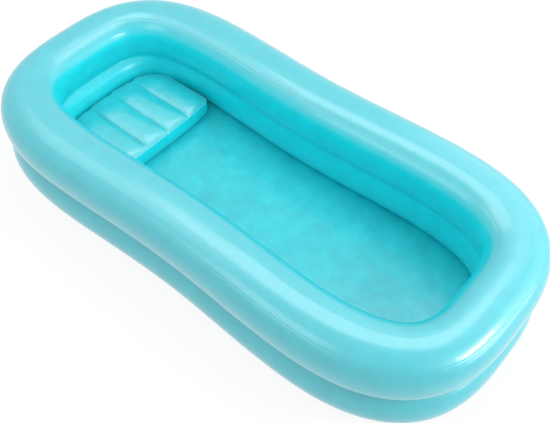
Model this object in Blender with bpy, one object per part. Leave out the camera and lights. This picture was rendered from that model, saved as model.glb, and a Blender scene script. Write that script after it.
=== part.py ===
# Inflatable bathtub: two stacked air chambers welded from PVC sheet, a hanging floor sheet,
# a ribbed air pillow at the head end, three air valves and a drain.
# Metres, +Z up, +X towards the foot end. The origin is on the ground under the middle.
import math

import bmesh
import bpy
from mathutils import Matrix, Vector

# Plan of the centre line that both chambers follow
CENTRE_HALF_LENGTH = 0.758
CENTRE_HALF_WIDTH = 0.396
END_SQUARENESS = 3.15        # exponent of the plan curve: 2 is an ellipse, more is squarer
WAIST_SHARE = 0.2365         # how much of the half width the long sides draw in at the middle
WAIST_REACH_SHARE = 1.4      # how far the waist reaches, of the half length

# Heights above the ground
RIM_HEIGHT = 0.275
UPPER_BULGE_HEIGHT = 0.197
OUTER_CREASE_HEIGHT = 0.126
INNER_CREASE_HEIGHT = 0.133
LOWER_BULGE_HEIGHT = 0.066
FLOOR_HEIGHT = 0.020

# Reach of the chambers either side of the centre line, at the long sides, head and foot
UPPER_OUT_SIDE = 0.0930
UPPER_OUT_HEAD = 0.0652
UPPER_OUT_FOOT = 0.0836
UPPER_IN_SIDE = 0.0918
UPPER_IN_HEAD = 0.0918
UPPER_IN_FOOT = 0.0836
LOWER_IN_SIDE = 0.0881
LOWER_IN_HEAD = 0.1144
LOWER_IN_FOOT = 0.0802
LOWER_SET_IN_SIDE = 0.0080   # the lower chamber stands in from the upper one outside
LOWER_SET_IN_HEAD = 0.0015
LOWER_SET_IN_FOOT = 0.0035
OUTER_CREASE_DEPTH = 0.040
INNER_CREASE_DEPTH = 0.013
CONTACT_HALF_WIDTH = 0.018   # half of the flat band that lies on the ground

# Where the welds lie on the rounded sections, in degrees from the widest point
OUTER_WELD_ANGLE = 45.0
INNER_WELD_ANGLE = 51.0
INNER_WELD_ANGLE_HEAD = 62.0
BASE_SEAM_ANGLE = 55.0
CREASE_ANGLE = 62.0

# Sheets, clearances and mesh counts
SHEET = 0.0004
CLEARANCE = 0.0003
OVERRUN = 0.010              # how far a cutter stands out past what it cuts
STATIONS = 64
UPPER_FULLNESS = 2.3         # exponent of the upper chamber's arcs: 2 is an ellipse
LOWER_FULLNESS = 2.1

# Pillow
PILLOW_FRONT = 0.381         # from the middle of the bath towards the head
PILLOW_FRONT_BOW = 0.010     # the front stands out this much more at its middle
PILLOW_HALF_WIDTH = 0.206
PILLOW_CORNER = 0.018        # radius of its two front corners
PILLOW_HEIGHT = 0.054        # of the side band
PILLOW_CROWN = 0.006
PILLOW_SIDE_BULGE = 0.004
PILLOW_WALL_GAP = 0.002      # between the pillow's side and the wall behind it
PILLOW_LINE_MARGIN = 0.022   # channel lines stop short of the front and back edges
RIB_HEIGHT = 0.012
PILLOW_CHANNELS = 4
PILLOW_LINE_PITCH = 0.092    # between two channel lines
PILLOW_LINE_SHIFT = 0.015    # the middle line stands this far towards the far side
PILLOW_ROWS = 10
PILLOW_COLUMNS = 24          # a multiple of six, so that columns fall on the channel lines

# Air valve and drain, each a moulded seat with a lid on a strap
VALVE = dict(flange=0.015, proud=0.0006, depth=0.0024, stem=0.0075, rise=0.008, bore=0.0043,
             skirt=0.0062, drop=0.006, lid=0.0086, lid_height=0.002, plug=0.0040, tip=0.0030,
             plug_depth=0.0056, pivot=0.014, strap=0.0058, strap_height=0.0008, knuckle=0.0013)
DRAIN = dict(flange=0.024, proud=0.0006, depth=0.0024, stem=0.0150, rise=0.003, bore=0.0110,
             skirt=0.0135, drop=0.009, lid=0.0162, lid_height=0.002, plug=0.0106, tip=0.0092,
             plug_depth=0.0070, pivot=0.024, strap=0.0090, strap_height=0.0008, knuckle=0.0013)
TAB_DROP = 0.0010            # the seat's tab lies this far under the mouth
TAB_HEIGHT = 0.0014
FLAP_RADIUS = 0.0054
FLAP_HEIGHT = 0.0008
FLAP_PIVOT = 0.0070
FLAP_KNUCKLE = 0.0006
FLAP_STRAP = 0.0040
ROUND_SEGMENTS = 24
KNUCKLE_SEGMENTS = 10

PILLOW_VALVE_FORWARD = 0.060    # behind the pillow's front
PILLOW_VALVE_INSET = 0.044      # in from the pillow's side
DRAIN_FROM_MIDDLE = 0.290       # towards the foot
DRAIN_FROM_SIDE = 0.231         # in from the near chambers' centre line, hidden by the wall there

PVC = (0.36, 0.84, 0.88, 1.0)
PVC_DEEP = (0.10, 0.72, 0.79, 1.0)
MOULDED = (0.30, 0.78, 0.83, 1.0)
WHITE_SOFT = (0.86, 0.90, 0.91, 1.0)


def signed_power(value, exponent):
    return math.copysign(abs(value) ** exponent, value)


def plan_point(turn):
    # the centre line at an angle, with the long sides drawn in at the waist
    c = math.cos(turn)
    s = math.sin(turn)
    x = CENTRE_HALF_LENGTH * signed_power(c, 2 / END_SQUARENESS)
    y = CENTRE_HALF_WIDTH * signed_power(s, 2 / END_SQUARENESS)
    reach = max(-1.0, min(1.0, x / (WAIST_REACH_SHARE * CENTRE_HALF_LENGTH)))
    y *= 1 - WAIST_SHARE * (1 + math.cos(math.pi * reach)) / 2
    # the ends reach out unlike amounts, so the line shifts to put the origin at mid length
    return Vector((x + (UPPER_OUT_HEAD - UPPER_OUT_FOOT) / 2, y))


def make_stations(fine=2048, bend_weight=0.28):
    # points spaced by length along the centre line, closer together where it bends
    points = [plan_point(2 * math.pi * (i + 0.5) / fine) for i in range(fine)]
    heading = []
    for i in range(fine):
        step = points[(i + 1) % fine] - points[i]
        heading.append(math.atan2(step.y, step.x))
    total = [0.0]
    for i in range(fine):
        turn = abs((heading[i] - heading[i - 1] + math.pi) % (2 * math.pi) - math.pi)
        step = (points[(i + 1) % fine] - points[i]).length
        total.append(total[-1] + step + bend_weight * CENTRE_HALF_WIDTH * 2 * turn)
    stations = []
    place = 0
    for k in range(STATIONS):
        goal = total[-1] * (k + 0.5) / STATIONS
        while total[place + 1] < goal:
            place += 1
        share = (goal - total[place]) / (total[place + 1] - total[place])
        point = points[place].lerp(points[(place + 1) % fine], share)
        ahead = points[(place + 2) % fine] - points[place - 1]
        stations.append((point, Vector((ahead.y, -ahead.x)).normalized()))
    return stations


def reach(side, head, foot, normal):
    # a section size that runs from its value at the long sides to the one at the end
    end = head if normal.x < 0 else foot
    return side + (end - side) * normal.x ** 2


def arc(start, end, fullness, first, last, steps, stop=90.0):
    # part of a quarter arc from a widest point to a highest, lowest or innermost point
    # first, last and stop are angles in degrees; at stop the arc is at its end point
    power = 2 / fullness
    across = 1 - math.cos(math.radians(stop)) ** power
    along = math.sin(math.radians(stop)) ** power
    points = []
    for i in range(steps + 1):
        turn = math.radians(first + (last - first) * i / steps)
        cosine = max(0.0, math.cos(turn))
        sine = max(0.0, math.sin(turn))
        out = start[0] + (end[0] - start[0]) * (1 - cosine ** power) / across
        up = start[1] + (end[1] - start[1]) * sine ** power / along
        points.append(Vector((out, up)))
    return points


def floor_weld_angle():
    # the lower chamber's inside comes down to the floor's height at this angle
    drop_share = (LOWER_BULGE_HEIGHT - FLOOR_HEIGHT) / (LOWER_BULGE_HEIGHT - SHEET / 2)
    return math.degrees(math.asin(drop_share ** (LOWER_FULLNESS / 2)))


def section(normal):
    # the named points of the wall section at a station: distance out from the centre line, height
    upper_out = reach(UPPER_OUT_SIDE, UPPER_OUT_HEAD, UPPER_OUT_FOOT, normal)
    upper_in = reach(UPPER_IN_SIDE, UPPER_IN_HEAD, UPPER_IN_FOOT, normal)
    lower_in = reach(LOWER_IN_SIDE, LOWER_IN_HEAD, LOWER_IN_FOOT, normal)
    set_in = reach(LOWER_SET_IN_SIDE, LOWER_SET_IN_HEAD, LOWER_SET_IN_FOOT, normal)
    return dict(
        top=(0.0, RIM_HEIGHT - SHEET / 2),
        upper_out=(upper_out, UPPER_BULGE_HEIGHT),
        crease_out=(upper_out - OUTER_CREASE_DEPTH, OUTER_CREASE_HEIGHT),
        lower_out=(upper_out - set_in, LOWER_BULGE_HEIGHT),
        foot_out=(CONTACT_HALF_WIDTH, SHEET / 2),
        upper_in=(-upper_in, UPPER_BULGE_HEIGHT),
        crease_in=(INNER_CREASE_DEPTH - upper_in, INNER_CREASE_HEIGHT),
        lower_in=(-lower_in, LOWER_BULGE_HEIGHT),
        foot_in=(-CONTACT_HALF_WIDTH, SHEET / 2))


def trimmed(points, start, end):
    # the same line with its first and last points drawn back along it
    line = [p.copy() for p in points]
    line[0] += (line[1] - line[0]).normalized() * start
    line[-1] += (line[-2] - line[-1]).normalized() * end
    return line


def top_line(normal):
    s = section(normal)
    weld = reach(INNER_WELD_ANGLE, INNER_WELD_ANGLE_HEAD, INNER_WELD_ANGLE, normal)
    outside = arc(s['upper_out'], s['top'], UPPER_FULLNESS, OUTER_WELD_ANGLE, 90.0, 3)
    inside = arc(s['upper_in'], s['top'], UPPER_FULLNESS, weld, 90.0, 3)
    return trimmed(outside + inside[-2::-1], CLEARANCE / 2, CLEARANCE / 2)


def outer_line(normal):
    s = section(normal)
    crown = arc(s['upper_out'], s['top'], UPPER_FULLNESS, OUTER_WELD_ANGLE, 0.0, 2)
    turn = CREASE_ANGLE
    upper = arc(s['upper_out'], s['crease_out'], UPPER_FULLNESS, 0.0, turn, 3, turn)
    lower = arc(s['lower_out'], s['crease_out'], LOWER_FULLNESS, turn, 0.0, 3, turn)
    under = arc(s['lower_out'], s['foot_out'], LOWER_FULLNESS, 0.0, BASE_SEAM_ANGLE, 3)
    return trimmed(crown + upper[1:] + lower[1:] + under[1:], CLEARANCE / 2, CLEARANCE / 2)


def inner_line(normal):
    s = section(normal)
    weld = reach(INNER_WELD_ANGLE, INNER_WELD_ANGLE_HEAD, INNER_WELD_ANGLE, normal)
    crown = arc(s['upper_in'], s['top'], UPPER_FULLNESS, weld, 0.0, 3)
    turn = CREASE_ANGLE
    upper = arc(s['upper_in'], s['crease_in'], UPPER_FULLNESS, 0.0, turn, 3, turn)
    lower = arc(s['lower_in'], s['crease_in'], LOWER_FULLNESS, turn, 0.0, 3, turn)
    under = arc(s['lower_in'], s['foot_in'], LOWER_FULLNESS, 0.0, floor_weld_angle(), 3)
    return trimmed(crown + upper[1:] + lower[1:] + under[1:], CLEARANCE / 2, CLEARANCE / 2)


def base_line(normal):
    # from the floor weld down and under the lower chamber to the outer seam
    s = section(normal)
    under_in = arc(s['lower_in'], s['foot_in'], LOWER_FULLNESS, floor_weld_angle(), 90.0, 4)
    under_out = arc(s['lower_out'], s['foot_out'], LOWER_FULLNESS, 90.0, BASE_SEAM_ANGLE, 2)
    return trimmed(under_in + under_out, CLEARANCE / 2, CLEARANCE / 2)


def floor_edge(normal):
    # how far out the floor reaches, one and a half sheets and a clearance short of the weld line
    s = section(normal)
    weld = arc(s['lower_in'], s['foot_in'], LOWER_FULLNESS, floor_weld_angle(), 90.0, 1)[0]
    return weld.x - SHEET * 1.5 - CLEARANCE


def web_line(normal):
    # the partition between the chambers, kept off the creases by a mitred sheet and a clearance
    s = section(normal)
    set_back = CLEARANCE + SHEET
    outer = Vector(s['crease_out']) - Vector((set_back, 0.0))
    inner = Vector(s['crease_in']) + Vector((set_back, 0.0))
    return [outer, inner]


def two_faces(line):
    # the line moved half a sheet to either side, with its corners mitred
    left = []
    right = []
    for i, point in enumerate(line):
        before = (point - line[i - 1]).normalized() if i else None
        after = (line[i + 1] - point).normalized() if i < len(line) - 1 else None
        along = (before or after) + (after or before)
        across = Vector((-along.y, along.x)).normalized()
        cosine = across.dot(Vector((-(after or before).y, (after or before).x)))
        shift = across * SHEET / 2 / max(cosine, 0.4)
        left.append(point + shift)
        right.append(point - shift)
    return left, right


def place(station, point):
    centre, normal = station
    return Vector((centre.x + normal.x * point.x, centre.y + normal.y * point.x, point.y))


def finish_mesh(name, mesh_data):
    bmesh.ops.recalc_face_normals(mesh_data, faces=mesh_data.faces)
    mesh = bpy.data.meshes.new(name)
    mesh_data.to_mesh(mesh)
    mesh_data.free()
    piece = bpy.data.objects.new(name, mesh)
    bpy.context.scene.collection.objects.link(piece)
    return piece


def smooth(piece, angle=35.0):
    piece.data.shade_smooth()
    piece.data.set_sharp_from_angle(angle=math.radians(angle))


def paint(piece, colour, roughness):
    material = bpy.data.materials.new(piece.name + '_finish')
    material.use_nodes = True
    shader = material.node_tree.nodes['Principled BSDF']
    shader.inputs['Base Color'].default_value = colour
    shader.inputs['Roughness'].default_value = roughness
    shader.inputs['Metallic'].default_value = 0.0
    piece.data.materials.clear()
    piece.data.materials.append(material)


def ring_sheet(name, line_at, stations):
    # a thin sheet swept once round the centre line
    data = bmesh.new()
    loops = []
    for station in stations:
        left, right = two_faces(line_at(station[1]))
        outline = left + right[::-1]
        loops.append([data.verts.new(place(station, p)) for p in outline])
    for i, loop in enumerate(loops):
        following = loops[(i + 1) % len(loops)]
        for j in range(len(loop)):
            k = (j + 1) % len(loop)
            data.faces.new((loop[j], following[j], following[k], loop[k]))
    return finish_mesh(name, data)


def floor_sheet(name, stations):
    # flat film across the inside, closed by strips between opposite stations
    data = bmesh.new()
    count = len(stations)
    rims = []
    for height in (FLOOR_HEIGHT + SHEET / 2, FLOOR_HEIGHT - SHEET / 2):
        rim = [data.verts.new(place(s, Vector((floor_edge(s[1]), height)))) for s in stations]
        for i in range(count // 2 - 1):
            data.faces.new((rim[i], rim[i + 1], rim[-2 - i], rim[-1 - i]))
        rims.append(rim)
    top, bottom = rims
    for i in range(count):
        k = (i + 1) % count
        data.faces.new((top[i], top[k], bottom[k], bottom[i]))
    return finish_mesh(name, data)


def pillow_wall(stations):
    # the line behind the pillow, set in from the lower chamber's widest part, as (y, x) pairs
    line = []
    for centre, normal in stations:
        inset = -section(normal)['lower_in'][0] + PILLOW_WALL_GAP + PILLOW_SIDE_BULGE
        point = centre - normal * inset
        if point.x < -PILLOW_FRONT:
            line.append((point.y, point.x))
    return sorted(line)


def pillow_back(y, wall):
    # where the pillow's back edge meets the line of the wall
    for (y1, x1), (y2, x2) in zip(wall, wall[1:]):
        if y1 <= y <= y2:
            return x1 + (x2 - x1) * (y - y1) / (y2 - y1)
    return -PILLOW_FRONT


def channel_edges():
    # the pillow's near side, its channel lines and its far side
    lines = [PILLOW_LINE_SHIFT + PILLOW_LINE_PITCH * (i - PILLOW_CHANNELS / 2)
             for i in range(1, PILLOW_CHANNELS)]
    return [-PILLOW_HALF_WIDTH] + lines + [PILLOW_HALF_WIDTH]


def channel_share(y):
    # how far y lies across its own channel, from 0 to 1
    edges = channel_edges()
    for low, high in zip(edges, edges[1:]):
        if y <= high:
            return (y - low) / (high - low)
    return 1.0


def pillow_y(column):
    # columns fall on the channel lines, and lie closer together towards the pillow's sides
    place = PILLOW_CHANNELS * (1 + math.sin(math.pi / 2 * (2 * column / PILLOW_COLUMNS - 1))) / 2
    channel = min(int(place), PILLOW_CHANNELS - 1)
    low, high = channel_edges()[channel:channel + 2]
    return low + (high - low) * (place - channel)


def pillow_front(y):
    bow = PILLOW_FRONT_BOW * (1 - (y / PILLOW_HALF_WIDTH) ** 4)
    over = min(max(abs(y) - PILLOW_HALF_WIDTH + PILLOW_CORNER, 0.0), PILLOW_CORNER)
    return bow - PILLOW_FRONT - PILLOW_CORNER + math.sqrt(PILLOW_CORNER ** 2 - over ** 2)


def pillow_grid(height_at, rows, wall):
    # points from front to back for each column of the pillow's plan
    grid = []
    for column in range(PILLOW_COLUMNS + 1):
        y = pillow_y(column)
        front = pillow_front(y)
        length = front - pillow_back(y, wall)
        line = []
        for row in range(rows + 1):
            along = row / rows
            line.append(Vector((front - length * along, y, height_at(y, along, length))))
        grid.append(line)
    return grid


def pillow_base_height():
    return FLOOR_HEIGHT + SHEET + CLEARANCE


def pillow_edge_height():
    return pillow_base_height() + SHEET / 2 + PILLOW_HEIGHT


def pillow_top_height(y, along, length):
    # crown over the whole pillow, with a rib between each two channel lines
    across = y / PILLOW_HALF_WIDTH
    dome = (1 - across ** 4) * (1 - (2 * along - 1) ** 4)
    from_middle = abs(channel_share(y) - 0.5) * 2
    rib = math.sqrt(max(0.0, 1 - from_middle ** 2))
    fade = min(1.0, min(along, 1 - along) * length / PILLOW_LINE_MARGIN)
    lift = PILLOW_CROWN * dome + RIB_HEIGHT * fade * rib * (1 - across ** 8)
    return pillow_edge_height() + lift


def grid_sheet(name, grid):
    data = bmesh.new()
    half = Vector((0.0, 0.0, SHEET / 2))
    tops = [[data.verts.new(p + half) for p in line] for line in grid]
    bottoms = [[data.verts.new(p - half) for p in line] for line in grid]
    last = len(grid) - 1
    end = len(grid[0]) - 1
    for rows in (tops, bottoms):
        for i in range(last):
            for j in range(end):
                data.faces.new((rows[i][j], rows[i + 1][j], rows[i + 1][j + 1], rows[i][j + 1]))
    rim = [(i, 0) for i in range(last)] + [(last, j) for j in range(end)]
    rim += [(i, end) for i in range(last, 0, -1)] + [(0, j) for j in range(end, 0, -1)]
    for k, (i, j) in enumerate(rim):
        m, n = rim[(k + 1) % len(rim)]
        data.faces.new((tops[i][j], tops[m][n], bottoms[m][n], bottoms[i][j]))
    return finish_mesh(name, data)


def pillow_rim(wall):
    # the outline's points in order round the pillow, with outward directions
    grid = pillow_grid(lambda y, along, length: 0.0, PILLOW_ROWS, wall)
    points = [line[0] for line in grid[:-1]] + grid[-1][:-1]
    points += [line[-1] for line in grid[:0:-1]] + grid[0][:0:-1]
    rim = []
    for i, point in enumerate(points):
        ahead = points[(i + 1) % len(points)] - points[i - 1]
        rim.append((Vector((point.x, point.y)), Vector((ahead.y, -ahead.x)).normalized()))
    return rim


def pillow_band_line(normal):
    # the side of the pillow, rounded out between its two seams
    low = pillow_base_height() + SHEET / 2 + CLEARANCE
    high = pillow_edge_height() - SHEET / 2 - CLEARANCE
    steps = 4
    line = []
    for i in range(steps + 1):
        share = i / steps
        bulge = PILLOW_SIDE_BULGE * math.sin(math.pi * share)
        line.append(Vector((bulge - SHEET / 2, high + (low - high) * share)))
    return line


def pillow_web(name, y, wall):
    # an upright strip that ties the top sheet down along a channel line
    data = bmesh.new()
    low = pillow_base_height() + SHEET / 2 + CLEARANCE
    front = pillow_front(y)
    length = front - pillow_back(y, wall)
    faces = [[], []]
    for row in range(1, PILLOW_ROWS):
        along = row / PILLOW_ROWS
        x = front - length * along
        high = pillow_top_height(y, along, length) - SHEET / 2 - CLEARANCE
        for side in (0, 1):
            offset = SHEET * (side - 0.5)
            faces[side].append([data.verts.new((x, y + offset, z)) for z in (low, high)])
    for a, b in zip(faces[0], faces[0][1:]):
        data.faces.new((a[0], b[0], b[1], a[1]))
    for a, b in zip(faces[1], faces[1][1:]):
        data.faces.new((a[0], b[0], b[1], a[1]))
    for a, b, c, d in zip(faces[0], faces[0][1:], faces[1], faces[1][1:]):
        data.faces.new((a[0], b[0], d[0], c[0]))
        data.faces.new((a[1], b[1], d[1], c[1]))
    for a, c in ((faces[0][0], faces[1][0]), (faces[0][-1], faces[1][-1])):
        data.faces.new((a[0], a[1], c[1], c[0]))
    return finish_mesh(name, data)


def turned(name, profile, segments):
    # a round piece from its half section: radius and height, with any axis points closed
    data = bmesh.new()
    rings = []
    for radius, height in profile:
        if radius == 0:
            rings.append([data.verts.new((0.0, 0.0, height))])
            continue
        ring = []
        for i in range(segments):
            turn = 2 * math.pi * i / segments
            ring.append(data.verts.new((radius * math.cos(turn), radius * math.sin(turn), height)))
        rings.append(ring)
    closed = profile[0][0] > 0
    for k in range(len(rings) if closed else len(rings) - 1):
        a, b = rings[k], rings[(k + 1) % len(rings)]
        for i in range(segments):
            j = (i + 1) % segments
            corners = [a[i % len(a)], a[j % len(a)], b[j % len(b)], b[i % len(b)]]
            data.faces.new(list(dict.fromkeys(corners)))
    return finish_mesh(name, data)


def block(low, high):
    data = bmesh.new()
    bmesh.ops.create_cube(data, size=1.0)
    for vertex in data.verts:
        vertex.co = Vector(((a + b) / 2 + c * (b - a)) for a, b, c in zip(low, high, vertex.co))
    return finish_mesh('block', data)


def knuckle(x, z, radius, strap_width):
    # a short round bar along Y that the strap bends about, a sheet wider at each end
    data = bmesh.new()
    turn = Matrix.Translation((x, 0.0, z)) @ Matrix.Rotation(math.pi / 2, 4, 'X')
    bmesh.ops.create_cone(data, cap_ends=True, segments=KNUCKLE_SEGMENTS, radius1=radius,
                          radius2=radius, depth=strap_width + 2 * SHEET, matrix=turn)
    return finish_mesh('knuckle', data)


def combine(piece, other, operation):
    # the other object is used up by the cut or the union
    modifier = piece.modifiers.new(operation.lower(), 'BOOLEAN')
    modifier.operation = operation
    modifier.object = other
    bpy.context.view_layer.update()
    evaluated = piece.evaluated_get(bpy.context.evaluated_depsgraph_get())
    mesh = bpy.data.meshes.new_from_object(evaluated)
    piece.modifiers.clear()
    piece.data = mesh
    bpy.data.objects.remove(other)


def stand(piece, frame):
    piece.data.transform(frame)
    return piece


def put_on_axis(piece, pivot):
    # the piece's origin goes to its joint's axis and its mesh stays where it is
    piece.data.transform(Matrix.Translation(-pivot))
    piece.location = pivot


def port_seat(name, size, frame):
    top = size['proud']
    profile = [(size['bore'], -size['drop']), (size['skirt'], -size['drop']),
               (size['skirt'], -size['depth']), (size['flange'], -size['depth']),
               (size['flange'], top), (size['stem'], top), (size['stem'], size['rise']),
               (size['bore'], size['rise'])]
    seat = turned(name, profile, ROUND_SEGMENTS)
    inner = (size['bore'] + size['stem']) / 2
    outer = size['pivot'] - size['knuckle'] - CLEARANCE
    high = size['rise'] - TAB_DROP
    half_width = size['strap'] / 2
    tab = block((inner, -half_width, high - TAB_HEIGHT), (outer, half_width, high))
    combine(seat, tab, 'UNION')
    return stand(seat, frame)


def port_lid(name, size, frame):
    # lid, tapered plug and strap in one moulding that turns about the strap's knuckle
    low = size['rise'] + CLEARANCE
    tip = low - size['plug_depth']
    profile = [(0, tip), (size['tip'], tip), (size['plug'], low), (size['lid'], low),
               (size['lid'], low + size['lid_height']), (0, low + size['lid_height'])]
    lid = turned(name, profile, ROUND_SEGMENTS)
    middle = low + size['lid_height'] / 2
    inner = (size['plug'] + size['lid']) / 2
    half_width = size['strap'] / 2
    half_height = size['strap_height'] / 2
    strap = block((inner, -half_width, middle - half_height),
                  (size['pivot'], half_width, middle + half_height))
    combine(lid, strap, 'UNION')
    combine(lid, knuckle(size['pivot'], size['rise'], size['knuckle'], size['strap']), 'UNION')
    stand(lid, frame)
    put_on_axis(lid, frame @ Vector((size['pivot'], 0.0, size['rise'])))
    return lid


def check_flap(name, size, frame):
    # a soft disc under the bore that air pushes open and chamber pressure shuts
    high = -size['drop'] - CLEARANCE
    low = high - FLAP_HEIGHT
    profile = [(0, low), (FLAP_RADIUS, low), (FLAP_RADIUS, high), (0, high)]
    flap = turned(name, profile, ROUND_SEGMENTS)
    middle = (low + high) / 2
    quarter = FLAP_HEIGHT / 4
    strap = block((FLAP_RADIUS / 2, -FLAP_STRAP / 2, middle - quarter),
                  (FLAP_PIVOT, FLAP_STRAP / 2, middle + quarter))
    combine(flap, strap, 'UNION')
    combine(flap, knuckle(FLAP_PIVOT, middle, FLAP_KNUCKLE, FLAP_STRAP), 'UNION')
    stand(flap, frame)
    put_on_axis(flap, frame @ Vector((FLAP_PIVOT, 0.0, middle)))
    return flap


def port_hole(size, frame):
    # a round cutter that leaves the flange its clearance
    depth = size['depth'] + OVERRUN
    radius = size['flange'] + CLEARANCE
    profile = [(0, -depth), (radius, -depth), (radius, OVERRUN), (0, OVERRUN)]
    return stand(turned('cutter', profile, ROUND_SEGMENTS), frame)


def widest_place(stations):
    # where the far side runs parallel to the bath's length, near the foot
    best = max((s for s in stations if s[0].x > 0 and s[0].y > 0), key=lambda s: s[0].y)
    return best[0]


def side_frame(stations, height, out):
    # a port that looks out of the far side: its own Z is world +Y and its X is world +X
    centre = widest_place(stations)
    turn = Matrix(((1, 0, 0), (0, 0, 1), (0, -1, 0))).to_4x4()
    return Matrix.Translation((centre.x, centre.y + out + SHEET / 2, height)) @ turn


def pillow_frame(wall):
    y = PILLOW_VALVE_INSET - PILLOW_HALF_WIDTH
    front = pillow_front(y)
    length = front - pillow_back(y, wall)
    height = pillow_top_height(y, PILLOW_VALVE_FORWARD / length, length) + SHEET / 2
    return Matrix.Translation((front - PILLOW_VALVE_FORWARD, y, height))


def drain_frame():
    y = DRAIN_FROM_SIDE - CENTRE_HALF_WIDTH
    return Matrix.Translation((DRAIN_FROM_MIDDLE, y, FLOOR_HEIGHT + SHEET / 2))


def build_pillow(wall):
    top = grid_sheet('pillow_top_sheet', pillow_grid(pillow_top_height, PILLOW_ROWS, wall))
    level = pillow_base_height()
    flat = pillow_grid(lambda y, along, length: level, 1, wall)
    base = grid_sheet('pillow_base_sheet', flat)
    band = ring_sheet('pillow_side_band', pillow_band_line, pillow_rim(wall))
    webs = []
    for i, line in enumerate(channel_edges()[1:-1], 1):
        webs.append(pillow_web('pillow_web_%d' % i, line, wall))
    for piece in (top, base, band):
        paint(piece, PVC, 0.32)
        smooth(piece)
    for web in webs:
        paint(web, PVC_DEEP, 0.35)
    return top


def build():
    for old in list(bpy.data.objects):
        bpy.data.objects.remove(old)
    stations = make_stations()
    outer = ring_sheet('outer_wall_sheet', outer_line, stations)
    sheets = [outer, ring_sheet('inner_wall_sheet', inner_line, stations),
              ring_sheet('top_sheet', top_line, stations)]
    sheets.append(ring_sheet('base_sheet', base_line, stations))
    floor = floor_sheet('floor_sheet', stations)
    web = ring_sheet('divider_web', web_line, stations)
    wall = pillow_wall(stations)
    pillow_top = build_pillow(wall)

    lower_out = UPPER_OUT_SIDE - LOWER_SET_IN_SIDE
    ports = [('upper_valve', outer, side_frame(stations, UPPER_BULGE_HEIGHT, UPPER_OUT_SIDE)),
             ('lower_valve', outer, side_frame(stations, LOWER_BULGE_HEIGHT, lower_out)),
             ('pillow_valve', pillow_top, pillow_frame(wall))]
    for name, sheet, frame in ports:
        combine(sheet, port_hole(VALVE, frame), 'DIFFERENCE')
        paint(port_seat(name + '_seat', VALVE, frame), MOULDED, 0.4)
        paint(port_lid(name + '_cap', VALVE, frame), MOULDED, 0.4)
        paint(check_flap(name + '_flap', VALVE, frame), WHITE_SOFT, 0.5)
    frame = drain_frame()
    combine(floor, port_hole(DRAIN, frame), 'DIFFERENCE')
    paint(port_seat('drain_seat', DRAIN, frame), MOULDED, 0.4)
    paint(port_lid('drain_plug', DRAIN, frame), MOULDED, 0.4)

    for sheet in sheets + [floor]:
        paint(sheet, PVC, 0.3)
        smooth(sheet)
    paint(web, PVC_DEEP, 0.35)


build()
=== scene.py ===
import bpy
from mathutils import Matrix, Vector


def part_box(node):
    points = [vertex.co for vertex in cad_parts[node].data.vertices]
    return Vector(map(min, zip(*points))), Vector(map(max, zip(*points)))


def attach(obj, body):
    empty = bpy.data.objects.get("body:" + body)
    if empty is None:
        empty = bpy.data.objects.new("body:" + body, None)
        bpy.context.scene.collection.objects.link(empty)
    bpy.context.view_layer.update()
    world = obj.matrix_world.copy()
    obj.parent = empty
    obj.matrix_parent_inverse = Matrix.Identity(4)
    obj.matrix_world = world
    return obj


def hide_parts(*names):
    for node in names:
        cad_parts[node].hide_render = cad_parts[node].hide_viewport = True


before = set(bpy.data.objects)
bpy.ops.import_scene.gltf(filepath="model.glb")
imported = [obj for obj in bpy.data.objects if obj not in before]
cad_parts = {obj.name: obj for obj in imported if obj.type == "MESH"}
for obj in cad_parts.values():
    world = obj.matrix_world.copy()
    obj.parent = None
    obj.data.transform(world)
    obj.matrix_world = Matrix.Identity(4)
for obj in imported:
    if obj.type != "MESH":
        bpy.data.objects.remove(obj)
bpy.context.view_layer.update()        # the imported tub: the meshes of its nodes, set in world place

import math

import bmesh
import bpy
import numpy as np
from mathutils import Matrix, Vector, noise

# Metres, +X to the foot end, +Z up, origin on the ground under the middle of the tub.

# Camera, as the photograph was taken

camera = {
    'azimuth': 40.705,          # degrees round the tub
    'elevation': 47.767,        # degrees above the horizon
    'distance': 2.4881,
    'target': (-0.0092, 0.0, 0.136),
    'imageWidth': 550,
    'imageHeight': 423,
    'focalPixels': 862.66,
    'centrePixels': (253.30, 178.30),
    'sensorWidth': 36.0,
}


def newObject(name, data):
    piece = bpy.data.objects.new(name, data)
    bpy.context.scene.collection.objects.link(piece)
    return piece


def direction(azimuth, elevation):
    # the way from the tub out to the camera or to a lamp, by degrees round the tub and up
    az, el = math.radians(azimuth), math.radians(elevation)
    return Vector((math.sin(az) * math.cos(el), -math.cos(az) * math.cos(el), math.sin(el)))


def addCamera(c):
    az = math.radians(c['azimuth'])
    right = Vector((math.cos(az), math.sin(az), 0.0))
    back = direction(c['azimuth'], c['elevation'])
    data = bpy.data.cameras.new('productCamera')
    data.sensor_width = c['sensorWidth']
    data.lens = c['focalPixels'] / c['imageWidth'] * c['sensorWidth']
    data.shift_x = (c['imageWidth'] / 2 - c['centrePixels'][0]) / c['imageWidth']
    data.shift_y = (c['centrePixels'][1] - c['imageHeight'] / 2) / c['imageWidth']
    camObject = newObject('productCamera', data)
    turn = Matrix((right, back.cross(right), back)).transposed().to_4x4()
    camObject.matrix_world = Matrix.Translation(Vector(c['target']) + back * c['distance']) @ turn
    bpy.context.scene.camera = camObject


addCamera(camera)
print('camera set')


# Small helpers for nodes and colours

def toLinear(code):
    # sRGB hex to the linear colour that the shader wants
    channels = [int(code[i:i + 2], 16) / 255 for i in (1, 3, 5)]
    return tuple(c / 12.92 if c <= 0.04045 else ((c + 0.055) / 1.055) ** 2.4 for c in channels) + (1.0,)


def addNode(tree, kind, settings=None, links=None):
    # adds a node; a setting is a socket (by name or number) or else a property, a link is its source
    node = tree.nodes.new(kind)
    for key, value in (settings or {}).items():
        if isinstance(key, int) or key in node.inputs:
            node.inputs[key].default_value = value
        else:
            setattr(node, key, value)
    for key, source in (links or {}).items():
        tree.links.new(source, node.inputs[key])
    return node


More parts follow.
